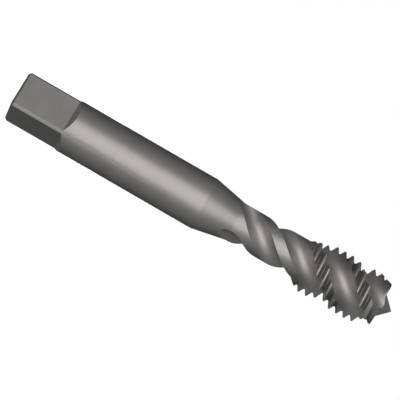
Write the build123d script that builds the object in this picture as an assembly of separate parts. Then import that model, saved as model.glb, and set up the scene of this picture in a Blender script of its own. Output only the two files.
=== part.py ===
from build123d import *
import math
import os

# Machine tap with three right-hand spiral flutes, M10 x 1.5, ground from one bar of tool steel.
# +Z runs along the axis from the drive square to the point. The origin is the centre of the
# square's end face, and the tap stands on that face. Lengths are in millimetres, angles in degrees.

# Shank
shank_diameter = 9.68
shank_length = 37.3
shank_end_chamfer = 0.4
taper_angle = 11.3

# Drive square
square_across_flats = 7.26
square_length = 11.11
square_runout_angle = 50.0
square_angle = 64.0

# Centre hole in the shank end
centre_mouth_diameter = 2.5
centre_pilot_diameter = 1.1
centre_cone_angle = 60.0
centre_pilot_length = 2.4

# Neck
neck_diameter = 7.2
neck_length = 12.95

# Threaded end, measured from the foot of its back cone to its end face
thread_diameter = 10.1
thread_length = 15.85
back_cone_angle = 37.0
lead_chamfer_angle = 18.5
end_face_diameter = 8.24

# Point, which ran in the grinder's hollow centre
point_base_diameter = 4.6
point_angle = 90.0

# Thread form
pitch = 1.5
flank_angle = 60.0
thread_depth = 0.9
crest_flat = 0.25
thread_crest_angle = 341.0

# Flutes, as seen in a section across the axis
flute_count = 3
flute_lead = 24.68
flute_angle_at_face = 14.6
core_diameter = 3.6
cutting_side_radius = 3.0
heel_side_radius = 3.8
runout_length = 4.4
runout_in_taper = 1.6
runout_straightening = 23.0
runout_floor_exponent = 1.5
runout_turn_exponent = 2
runout_shares = (1.25, 1.0, 0.8, 0.6, 0.4, 0.2, 0.0)

# How far the cutters reach past what they cut, and the angle that a thread cut leaves free in a flute
cutter_overrun = 1.0
groove_overrun = 0.1
groove_gap_angle = 10.0

shank_radius = shank_diameter / 2
neck_radius = neck_diameter / 2
thread_radius = thread_diameter / 2
end_face_radius = end_face_diameter / 2
point_radius = point_base_diameter / 2
core_radius = core_diameter / 2
flat_distance = square_across_flats / 2


def length_of_cone(rise, angle):
    """Length along the axis in which a surface at this angle to the axis rises by this much."""
    return rise / math.tan(math.radians(angle))


neck_start = shank_length + length_of_cone(shank_radius - neck_radius, taper_angle)
thread_start = neck_start + neck_length
end_face = thread_start + thread_length
overall_length = end_face + length_of_cone(point_radius, point_angle / 2)
full_depth_start = neck_start - runout_in_taper + runout_length


def turned_blank():
    """The bar after turning: shank, taper, neck, back cone, thread cylinder, lead chamfer and point."""
    back_cone = length_of_cone(thread_radius - neck_radius, back_cone_angle)
    lead_chamfer = length_of_cone(thread_radius - end_face_radius, lead_chamfer_angle)
    outline = Polyline(
        (0, 0),
        (shank_radius - shank_end_chamfer, 0),
        (shank_radius, shank_end_chamfer),
        (shank_radius, shank_length),
        (neck_radius, neck_start),
        (neck_radius, thread_start),
        (thread_radius, thread_start + back_cone),
        (thread_radius, end_face - lead_chamfer),
        (end_face_radius, end_face),
        (point_radius, end_face),
        (0, overall_length),
        close=True,
    )
    return revolve(Plane.XZ * make_face(outline), Axis.Z)


def square_cutters():
    """What the four strokes of the square take off, each with a ramp at one end and a bevel at the other."""
    clear = shank_radius + cutter_overrun
    ramp = length_of_cone(shank_radius - flat_distance, square_runout_angle)
    ramp_past_shank = length_of_cone(cutter_overrun, square_runout_angle)
    stroke = Polyline(
        (flat_distance - shank_end_chamfer - cutter_overrun, -cutter_overrun),
        (clear, -cutter_overrun),
        (clear, square_length + ramp_past_shank),
        (flat_distance, square_length - ramp),
        (flat_distance, shank_end_chamfer),
        close=True,
    )
    block = extrude(Plane.XZ * make_face(stroke), amount=clear, both=True)
    return [Rot(Z=square_angle + 90 * side) * block for side in range(4)]


def centre_hole():
    """Centre-drilled hole: a cone for the grinder's centre, and a pilot hole below it."""
    half_cone = centre_cone_angle / 2
    mouth = centre_mouth_diameter / 2
    pilot = centre_pilot_diameter / 2
    cone_depth = length_of_cone(mouth - pilot, half_cone)
    pilot_end = cone_depth + centre_pilot_length
    overrun_mouth = mouth + cutter_overrun * math.tan(math.radians(half_cone))
    outline = Polyline(
        (0, -cutter_overrun),
        (overrun_mouth, -cutter_overrun),
        (pilot, cone_depth),
        (pilot, pilot_end),
        (0, pilot_end),
        close=True,
    )
    return revolve(Plane.XZ * make_face(outline), Axis.Z)


def flute_section(z):
    """The space of one flute across the axis: hooked cutting side, floor, and wider heel side."""
    # In the run-out the floor rises to the taper's surface and the flute turns less than its helix
    runout_share = max(0, full_depth_start - z) / runout_length
    surface_at_start = neck_radius + runout_in_taper * math.tan(math.radians(taper_angle))
    floor = core_radius + (surface_at_start - core_radius) * runout_share ** runout_floor_exponent
    clear = thread_radius + neck_radius
    cutting_side = CenterArc((floor + cutting_side_radius, 0), cutting_side_radius, 180, 90)
    heel_side = CenterArc((floor + heel_side_radius, 0), heel_side_radius, 90, 90)
    outside = Polyline(
        cutting_side @ 1,
        (clear, -cutting_side_radius),
        (clear, heel_side_radius),
        heel_side @ 0,
    )
    helix_turn = flute_angle_at_face + 360 * (z - end_face) / flute_lead
    turn = helix_turn + runout_straightening * runout_share ** runout_turn_exponent
    return Pos(0, 0, z) * Rot(Z=turn) * make_face([cutting_side, outside, heel_side])


def flute_cutter():
    """One flute: a section twisted along the lead, and a run-out where it rises to the taper."""
    length = overall_length + cutter_overrun - full_depth_start
    twisted = Solid.extrude_linear_with_rotation(
        flute_section(full_depth_start).face(),
        (0, 0, full_depth_start),
        (0, 0, length),
        360 * length / flute_lead,
    )
    runout = loft([flute_section(full_depth_start - share * runout_length) for share in runout_shares])
    return twisted + runout


def thread_groove():
    """The space between two threads over one land, centred on the X axis, right-hand."""
    flank = math.tan(math.radians(flank_angle / 2))
    half_mouth = (pitch - crest_flat) / 2
    half_root = half_mouth - thread_depth * flank
    half_outside = half_mouth + groove_overrun * flank
    root_radius = thread_radius - thread_depth
    outside_radius = thread_radius + groove_overrun
    outline = Polyline(
        (root_radius, -half_root),
        (outside_radius, -half_outside),
        (outside_radius, half_outside),
        (root_radius, half_root),
        close=True,
    )
    span = 360 / flute_count - groove_gap_angle
    rise = pitch * span / 360
    path = Helix(pitch=pitch, height=rise, radius=root_radius)
    groove = sweep(Plane.XZ * make_face(outline), path=path, is_frenet=True)
    return Pos(0, 0, -rise / 2) * Rot(Z=-span / 2) * groove


def thread_grooves():
    """Every place where the thread's one helical groove crosses a land."""
    groove = thread_groove()
    turns = math.ceil(thread_length / pitch) + 1
    grooves = []
    for land in range(flute_count):
        land_angle = flute_angle_at_face + 360 * (land + 0.5) / flute_count
        for turn in range(-turns, 2):
            # The groove climbs one pitch a turn and the land one lead a turn: this is where they meet
            groove_start = pitch * ((land_angle - thread_crest_angle) / 360 + 0.5 + turn)
            z = groove_start / (1 - pitch / flute_lead)
            if thread_start < end_face + z + pitch / 2 and z < pitch:
                turned = Rot(Z=land_angle + 360 * z / flute_lead)
                grooves.append(Pos(0, 0, end_face + z) * turned * groove)
    return grooves


def make_tap():
    """The finished tap: the turned blank with its square, centre hole, flutes and thread cut."""
    tap = turned_blank() - square_cutters() - centre_hole()
    flute = flute_cutter()
    for number in range(flute_count):
        tap -= Rot(Z=360 * number / flute_count) * flute
    return tap - thread_grooves()


os.makedirs("parts", exist_ok=True)
export_step(make_tap(), "parts/tap.step")
print("overall length", round(overall_length, 2))
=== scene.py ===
import bpy
import math
from mathutils import Matrix, Vector

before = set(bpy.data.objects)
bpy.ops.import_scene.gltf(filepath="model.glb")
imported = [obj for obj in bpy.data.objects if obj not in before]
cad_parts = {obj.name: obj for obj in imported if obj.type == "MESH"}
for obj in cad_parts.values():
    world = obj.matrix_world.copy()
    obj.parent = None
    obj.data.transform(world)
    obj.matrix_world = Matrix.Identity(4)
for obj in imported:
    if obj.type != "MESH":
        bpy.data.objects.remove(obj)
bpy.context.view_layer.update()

# The photograph looks square at the tap's side, with the tap's axis 30 degrees below the horizontal
# of the picture and its point to the right. Lengths are in metres, angles in degrees.
AXIS_BELOW_HORIZONTAL = 30.0
AIM_POINT = Vector((-0.00019, 0.0, 0.03636))
PICTURE_WIDTH = 0.06902
LENS_MM = 300.0
SENSOR_MM = 36.0
NEAREST_SEEN = 0.01
FARTHEST_SEEN = 20.0

WHITE = (1.0, 1.0, 1.0, 1.0)
COOL_WHITE = (0.97, 1.0, 1.0, 1.0)
WARM_LIGHT = (1.0, 0.96, 0.935)
NEUTRAL_LIGHT = (1.0, 1.0, 1.0)
PANEL_DISTANCE = 0.6

# How bright the surround is to the sides, how much brighter or darker it is in front and behind,
# the least that it has anywhere, and the share of it that is left straight below
SURROUND_AT_SIDES = 0.22
SURROUND_FADE = 0.2
SURROUND_LEAST = 0.04
SURROUND_BELOW = 0.8

# The floor is pale and glows a little less than the surround behind it
FLOOR_RADIUS = 3.0
FLOOR_SIDES = 96
FLOOR_COLOUR = (0.9, 0.9, 0.9, 1.0)
FLOOR_GLOW = 0.9

MM_PER_METRE = 1000.0

# Places on the tap that its finish follows, in millimetres. They are the part's own, but the bounds
# of the square's ramps are a little wide, and the run-out counts from a quarter of its length.
SQUARE_RAMP_START = 9.3
SQUARE_END = 11.2
TAPER_START = 37.3
TAPER_END = 43.51
SHANK_RADIUS = 4.84
NECK_RADIUS = 3.6
FLUTE_START = 41.9
RUNOUT_START = 43.01
RUNOUT_END = 46.3
THREAD_START = 56.46
BACK_CONE_END = 58.38
ROOT_RADIUS = 4.15
END_FACE = 72.31
FLUTE_LEAD = 24.68

# How each surface is told from the next: millimetres under the turned blank's surface, the part of
# the surface's normal that points round the axis, and the part that points along it
FLUTE_DEPTHS = (0.05, 0.15)
DEEP_FLUTE_DEPTHS = (0.2, 0.7)
FLUTE_SLOPES = (0.12, 0.22)
FLAT_SLOPES = (0.02, 0.06)
SQUARE_RAMP_SLOPES = (-0.3, -0.6)

# Length over which each of them fades in or out, in millimetres
SQUARE_FADE = 0.3
FLUTE_FADE = 0.1
THREAD_FADE = 0.3
LAND_START_FADE = 0.5
LAND_END_FADE = 0.08
ROOT_FADE = 0.35
END_FACE_MARGIN = 0.02

# Waves a millimetre across the axis and along it, then the detail and the roughness of the noise
ROUND_MARKS = (0.35, 14.0, 3.0, 0.7)
FLUTE_MARKS = (7.0, 0.25, 3.0, 0.7)
FLAT_MARKS = (9.0, 0.5, 3.0, 0.7)
CLOUDS = (0.45, 0.3, 3.0, 0.6)
SPECKS = (6.0, 6.0, 2.0, 0.6)
NOISE_SPAN = (0.3, 0.7)
MARK_SPAN = (0.3, 0.72)

# Colours of the steel, and how far the finish goes towards each of the later ones. The flutes' lighter
# steel is painted light, standing in for the light that their hollow keeps off itself, and the darker
# steel of the thread's hollows and roots is painted shade. The flutes' run-out starts with only this share
# of their painted light.
STEEL_COOL = (0.43, 0.42, 0.41, 1.0)
STEEL_WARM = (0.47, 0.445, 0.42, 1.0)
FLUTE_PAINTED_LIGHT_STEEL = (0.56, 0.54, 0.52, 1.0)
MARK_STEEL = (0.36, 0.345, 0.33, 1.0)
HOLLOW_SHADE_STEEL = (0.12, 0.115, 0.11, 1.0)
ROOT_SHADE_STEEL = (0.2, 0.195, 0.19, 1.0)
EDGE_STEEL = (0.75, 0.74, 0.73, 1.0)
FLUTE_PAINTED_LIGHT = 0.75
RUNOUT_PAINTED_LIGHT_SHARE = 0.3
MARK_DARKNESS = 0.3
HOLLOW_SHADE_DARKNESS = 0.25
EDGE_BRIGHTNESS = 0.25

# Roughness of the smoothest and the roughest marks, what each place adds, and what edges lose
SMOOTHEST = 0.37
ROUGHEST = 0.47
CLOUD_ROUGHNESS = 0.03
FLUTE_ROUGHNESS = 0.07
SQUARE_RAMP_ROUGHNESS = 0.2
THREAD_ROUGHNESS = 0.12
EDGE_POLISH = 0.06

# An edge is rubbed where the normal blended over its width turns away, by the cosine between the
# two. Wear is patchy, and stops where the root of a thread begins.
EDGE_WIDTH = 0.00018
EDGE_TURNS = (0.995, 0.93)
WEAR_SPAN = (0.35, 0.6)
LEAST_WEAR = 0.5
ROOT_EDGE_SPAN = (0.2, 0.5)

# A hollow, which gets painted shade, is where this much of the sky is open within its reach
HOLLOW_REACH = 0.0012
HOLLOW_OPENNESS = (0.85, 0.35)

# Width of the blend along a flute's floor and depth of the marks, in metres, then how strongly the
# marks show, and the height of a speck as a share of theirs
FLUTE_FLOOR_BLEND = 0.0005
MARK_DEPTH = 0.000004
MARK_STRENGTH = 0.5
SPECK_HEIGHT = 0.15


class Graph:
    """The nodes of one material or world. Most methods add one node and return its output."""

    def __init__(self, tree):
        self.tree = tree

    def add(self, kind, inputs, **settings):
        node = self.tree.nodes.new("ShaderNode" + kind)
        for name, value in settings.items():
            setattr(node, name, value)
        for socket, value in inputs.items():
            self.set(node.inputs[socket], value)
        return node

    def set(self, socket, value):
        if isinstance(value, bpy.types.NodeSocket):
            self.tree.links.new(value, socket)
        else:
            socket.default_value = value

    def math(self, operation, first, second=0.0, third=0.0):
        inputs = {0: first, 1: second, 2: third}
        return self.add("Math", inputs, operation=operation).outputs[0]

    def all_of(self, first, *others):
        """The product of these shares."""
        for other in others:
            first = self.math("MULTIPLY", first, other)
        return first

    def ramp(self, value, low, high, low_result=0.0, high_result=1.0):
        """Goes smoothly from one result to the other as the value goes from low to high."""
        inputs = {"Value": value, 1: low, 2: high, 3: low_result, 4: high_result}
        return self.add("MapRange", inputs, interpolation_type="SMOOTHSTEP").outputs[0]

    def beyond(self, value, place, rise):
        """1 beyond this place, after a smooth rise from 0 just before it."""
        return self.ramp(value, place - rise, place)

    def up_to(self, value, place, fall):
        """1 up to this place, with a smooth fall to 0 just after it."""
        return self.ramp(value, place, place + fall, 1.0, 0.0)

    def line(self, value, low, high, low_result, high_result):
        """Goes in a straight line from one result to the other as the value goes from low to high."""
        inputs = {"Value": value, 1: low, 2: high, 3: low_result, 4: high_result}
        return self.add("MapRange", inputs).outputs[0]

    def blend(self, share, first, second):
        """The first number where the share is 0, and the second where it is 1."""
        return self.add("Mix", {0: share, 2: first, 3: second}, data_type="FLOAT").outputs[0]

    def bend(self, share, first, second):
        """The first vector where the share is 0, and the second where it is 1."""
        return self.add("Mix", {0: share, 4: first, 5: second}, data_type="VECTOR").outputs[1]

    def tint(self, share, first, second):
        """The first colour where the share is 0, and the second where it is 1."""
        return self.add("Mix", {0: share, 6: first, 7: second}, data_type="RGBA").outputs[2]

    def noise(self, vector, across, along, detail, roughness):
        """Noise with this many waves a unit across the Z axis, and this many along it."""
        inputs = {0: vector, 1: (across, across, along)}
        stretched = self.add("VectorMath", inputs, operation="MULTIPLY").outputs[0]
        inputs = {"Vector": stretched, "Scale": 1.0, "Detail": detail, "Roughness": roughness}
        return self.add("TexNoise", inputs).outputs[0]

    def bevelled(self, radius, samples):
        """The surface's normal, blended across edges over this radius."""
        return self.add("Bevel", {"Radius": radius}, samples=samples).outputs[0]


def make_camera():
    """A long lens at the height of the tap's middle, rolled so that the tap lies as in the photograph."""
    data = bpy.data.cameras.new("camera")
    data.lens = LENS_MM
    data.sensor_width = SENSOR_MM
    data.clip_start = NEAREST_SEEN
    data.clip_end = FARTHEST_SEEN
    camera = bpy.data.objects.new("camera", data)
    bpy.context.scene.collection.objects.link(camera)
    distance = PICTURE_WIDTH * LENS_MM / SENSOR_MM
    tilt = math.radians(AXIS_BELOW_HORIZONTAL)
    # The tap's +Z runs to the right and down in the picture, and its +X down and to the left
    right = Vector((-math.sin(tilt), 0.0, math.cos(tilt)))
    up = Vector((-math.cos(tilt), 0.0, -math.sin(tilt)))
    back = right.cross(up)
    turn = Matrix((right, up, back)).transposed()
    camera.matrix_world = Matrix.Translation(AIM_POINT + back * distance) @ turn.to_4x4()
    bpy.context.scene.camera = camera


def make_panel(name, direction, size, brightness, colour=NEUTRAL_LIGHT):
    """A round soft light that faces the middle of the tap and is this bright all over."""
    data = bpy.data.lights.new(name, "AREA")
    data.shape = "DISK"
    data.size = size
    data.energy = brightness * math.pi * math.pi * (size / 2) ** 2
    data.color = colour
    light = bpy.data.objects.new(name, data)
    bpy.context.scene.collection.objects.link(light)
    towards = Vector(direction).normalized()
    light.location = AIM_POINT + towards * PANEL_DISTANCE
    light.rotation_mode = "QUATERNION"
    light.rotation_quaternion = towards.to_track_quat("Z", "Y")
    light.visible_camera = False


def make_lights():
    """A broad warm panel behind the camera, and smaller ones behind the tap: level, low and high."""
    make_panel("front_panel", direction=(-0.035, -1.0, 0.0), size=0.86, brightness=0.94, colour=WARM_LIGHT)
    make_panel("back_panel", direction=(0.0, 1.0, 0.0), size=0.25, brightness=2.2)
    make_panel("low_back_panel", direction=(0.0, 1.0, -0.8), size=0.5, brightness=0.12)
    make_panel("high_back_panel", direction=(0.0, 1.0, 0.9), size=0.5, brightness=0.5)


def make_world():
    """A plain surround: white to the camera, and dim grey to the metal that mirrors it."""
    world = bpy.data.worlds.new("studio")
    world.use_nodes = True
    g = Graph(world.node_tree)
    direction = g.add("TexCoord", {}).outputs["Generated"]
    parts = g.add("SeparateXYZ", {0: direction}).outputs
    # It fades from the camera's side, -Y, to the far side, and is dimmer below
    fade = g.math("MULTIPLY_ADD", parts["Y"], -SURROUND_FADE, SURROUND_AT_SIDES)
    below = g.line(parts["Z"], -1.0, 0.0, SURROUND_BELOW, 1.0)
    strength = g.math("MULTIPLY", below, g.math("MAXIMUM", fade, SURROUND_LEAST))
    mirrored = g.add("Background", {"Color": COOL_WHITE, "Strength": strength}).outputs[0]
    seen = world.node_tree.nodes["Background"]
    seen.inputs["Color"].default_value = WHITE
    seen_by_camera = g.add("LightPath", {}).outputs["Is Camera Ray"]
    mixed = g.add("MixShader", {0: seen_by_camera, 1: mirrored, 2: seen.outputs[0]}).outputs[0]
    g.set(world.node_tree.nodes["World Output"].inputs["Surface"], mixed)
    bpy.context.scene.world = world
    bpy.context.scene.view_settings.view_transform = "Standard"


def make_floor():
    """A round pale floor under the tap, which the metal doesn't mirror."""
    bpy.ops.mesh.primitive_circle_add(vertices=FLOOR_SIDES, radius=FLOOR_RADIUS, fill_type="NGON")
    floor = bpy.context.object
    floor.name = "floor"
    material = bpy.data.materials.new("pale_floor")
    material.use_nodes = True
    shader = material.node_tree.nodes["Principled BSDF"]
    shader.inputs["Base Color"].default_value = FLOOR_COLOUR
    shader.inputs["Roughness"].default_value = 1.0
    shader.inputs["Specular IOR Level"].default_value = 0.0
    shader.inputs["Emission Color"].default_value = WHITE
    shader.inputs["Emission Strength"].default_value = FLOOR_GLOW
    floor.data.materials.append(material)
    floor.visible_glossy = False
    floor.visible_shadow = False


def find_surfaces(g, place, normal):
    """Tells which surface this is. Each result is a share from 0 to 1, under the surface's name."""
    x, y, z = g.add("SeparateXYZ", {0: place}).outputs
    normal_x, normal_y, normal_z = g.add("SeparateXYZ", {0: normal}).outputs
    radius = g.math("SQRT", g.math("MULTIPLY_ADD", x, x, g.math("MULTIPLY", y, y)))
    sideways = g.math("SUBTRACT", g.math("MULTIPLY", x, normal_y), g.math("MULTIPLY", y, normal_x))
    sideways = g.math("ABSOLUTE", g.math("DIVIDE", sideways, radius))

    # The turned blank's radius here, with the thread's roots as its surface over the thread
    blank = g.line(z, TAPER_START, TAPER_END, SHANK_RADIUS, NECK_RADIUS)
    step = g.ramp(z, THREAD_START, THREAD_START + FLUTE_FADE, 0.0, ROOT_RADIUS - NECK_RADIUS)
    depth = g.math("SUBTRACT", g.math("ADD", blank, step), radius)

    # The flutes lie under the blank's surface or face round the axis
    flute = g.math("MAXIMUM", g.ramp(depth, *FLUTE_DEPTHS), g.ramp(sideways, *FLUTE_SLOPES))
    before_end_face = g.up_to(z, END_FACE - END_FACE_MARGIN, 2 * END_FACE_MARGIN)
    flute = g.all_of(flute, g.beyond(z, FLUTE_START, FLUTE_FADE), before_end_face)
    deep_flute = g.all_of(flute, g.ramp(depth, *DEEP_FLUTE_DEPTHS))
    before_square_end = g.up_to(z, SQUARE_END, SQUARE_FADE)
    flat = g.all_of(g.ramp(sideways, *FLAT_SLOPES), before_square_end)
    square_ramp = g.ramp(normal_z, *SQUARE_RAMP_SLOPES)
    square_ramp = g.all_of(square_ramp, g.beyond(z, SQUARE_RAMP_START, SQUARE_FADE), before_square_end)
    before_land_end = g.up_to(z, END_FACE - END_FACE_MARGIN - LAND_END_FADE, LAND_END_FADE)
    land = g.math("SUBTRACT", 1.0, flute)
    land = g.all_of(land, g.beyond(z, BACK_CONE_END, LAND_START_FADE), before_land_end)
    return {
        "flute": flute,
        "deep_flute": deep_flute,
        "past_runout": g.ramp(z, RUNOUT_START, RUNOUT_END, RUNOUT_PAINTED_LIGHT_SHARE, 1.0),
        "flat": flat,
        "square_ramp": square_ramp,
        "thread": g.beyond(z, THREAD_START, THREAD_FADE),
        "threaded_land": land,
        "root": g.all_of(land, g.up_to(radius, ROOT_RADIUS, ROOT_FADE)),
    }


def grinding_marks(g, place, on):
    """Fine marks: round the axis on turned surfaces, along the helix in the flutes, along the flats."""
    z = g.add("SeparateXYZ", {0: place}).outputs["Z"]
    helix_turn = g.math("MULTIPLY", z, -2 * math.pi / FLUTE_LEAD)
    inputs = {"Vector": place, "Angle": helix_turn}
    untwisted = g.add("VectorRotate", inputs, rotation_type="Z_AXIS").outputs[0]
    turned = g.blend(on["flat"], g.noise(place, *ROUND_MARKS), g.noise(place, *FLAT_MARKS))
    return g.blend(on["flute"], turned, g.noise(untwisted, *FLUTE_MARKS))


def make_steel():
    """Ground tool steel, with the marks that each grinding pass left, painted light in the flutes and
    painted shade in the thread's hollows and roots.
    """
    material = bpy.data.materials.new("ground_tool_steel")
    material.use_nodes = True
    shader = material.node_tree.nodes["Principled BSDF"]
    g = Graph(material.node_tree)
    metres = g.add("TexCoord", {}).outputs["Object"]
    place = g.add("VectorMath", {0: metres, "Scale": MM_PER_METRE}, operation="SCALE").outputs[0]
    normal = g.add("NewGeometry", {}).outputs["Normal"]
    on = find_surfaces(g, place, normal)
    marks = grinding_marks(g, place, on)
    clouds = g.noise(place, *CLOUDS)
    specks = g.noise(place, *SPECKS)

    # Edges rubbed bright, but not in the thread's roots, and painted shade in the thread's hollows, where
    # little of the sky is open
    inputs = {0: g.bevelled(EDGE_WIDTH, samples=6), 1: normal}
    straightness = g.add("VectorMath", inputs, operation="DOT_PRODUCT").outputs["Value"]
    worn = g.ramp(specks, *WEAR_SPAN, LEAST_WEAR, 1.0)
    edge = g.all_of(g.ramp(straightness, *EDGE_TURNS), worn, g.ramp(on["root"], *ROOT_EDGE_SPAN, 1.0, 0.0))
    shade = g.add("AmbientOcclusion", {"Distance": HOLLOW_REACH}, samples=8, only_local=True)
    painted_hollow_shade = g.all_of(on["thread"], g.ramp(shade.outputs["AO"], *HOLLOW_OPENNESS))

    tone = g.tint(g.ramp(clouds, *NOISE_SPAN), STEEL_COOL, STEEL_WARM)
    # Painted light: the flutes get lighter steel, standing in for the light that their hollow keeps off
    # itself
    tone = g.tint(g.all_of(on["flute"], on["past_runout"], FLUTE_PAINTED_LIGHT), tone, FLUTE_PAINTED_LIGHT_STEEL)
    tone = g.tint(g.ramp(marks, *MARK_SPAN, 0.0, MARK_DARKNESS), tone, MARK_STEEL)
    # Painted shade: the thread's hollows get darker steel where less of the sky is open
    tone = g.tint(g.all_of(painted_hollow_shade, HOLLOW_SHADE_DARKNESS), tone, HOLLOW_SHADE_STEEL)
    # Painted shade: the thread's roots, which lie recessed between the crests, get darker steel
    tone = g.tint(on["root"], tone, ROOT_SHADE_STEEL)
    tone = g.tint(g.all_of(edge, EDGE_BRIGHTNESS), tone, EDGE_STEEL)
    g.set(shader.inputs["Base Color"], tone)
    shader.inputs["Metallic"].default_value = 1.0

    rough = g.line(marks, *NOISE_SPAN, SMOOTHEST, ROUGHEST)
    rough = g.math("ADD", rough, g.line(clouds, *NOISE_SPAN, -CLOUD_ROUGHNESS, CLOUD_ROUGHNESS))
    rough = g.math("MULTIPLY_ADD", edge, -EDGE_POLISH, rough)
    rough = g.math("MULTIPLY_ADD", on["deep_flute"], FLUTE_ROUGHNESS, rough)
    rough = g.math("MULTIPLY_ADD", on["square_ramp"], SQUARE_RAMP_ROUGHNESS, rough)
    rough = g.math("MULTIPLY_ADD", on["threaded_land"], THREAD_ROUGHNESS, rough)
    g.set(shader.inputs["Roughness"], rough)

    # The two arcs of a flute's wall meet along its floor, and the blend keeps that line from showing
    smooth = g.bend(on["deep_flute"], normal, g.bevelled(FLUTE_FLOOR_BLEND, samples=12))
    heights = g.math("MULTIPLY_ADD", specks, SPECK_HEIGHT, marks)
    inputs = {"Strength": MARK_STRENGTH, "Distance": MARK_DEPTH, "Height": heights, "Normal": smooth}
    g.set(shader.inputs["Normal"], g.add("Bump", inputs).outputs[0])
    return material


make_camera()
make_world()
make_lights()
make_floor()
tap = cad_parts["tap"]
tap.data.materials.clear()
tap.data.materials.append(make_steel())
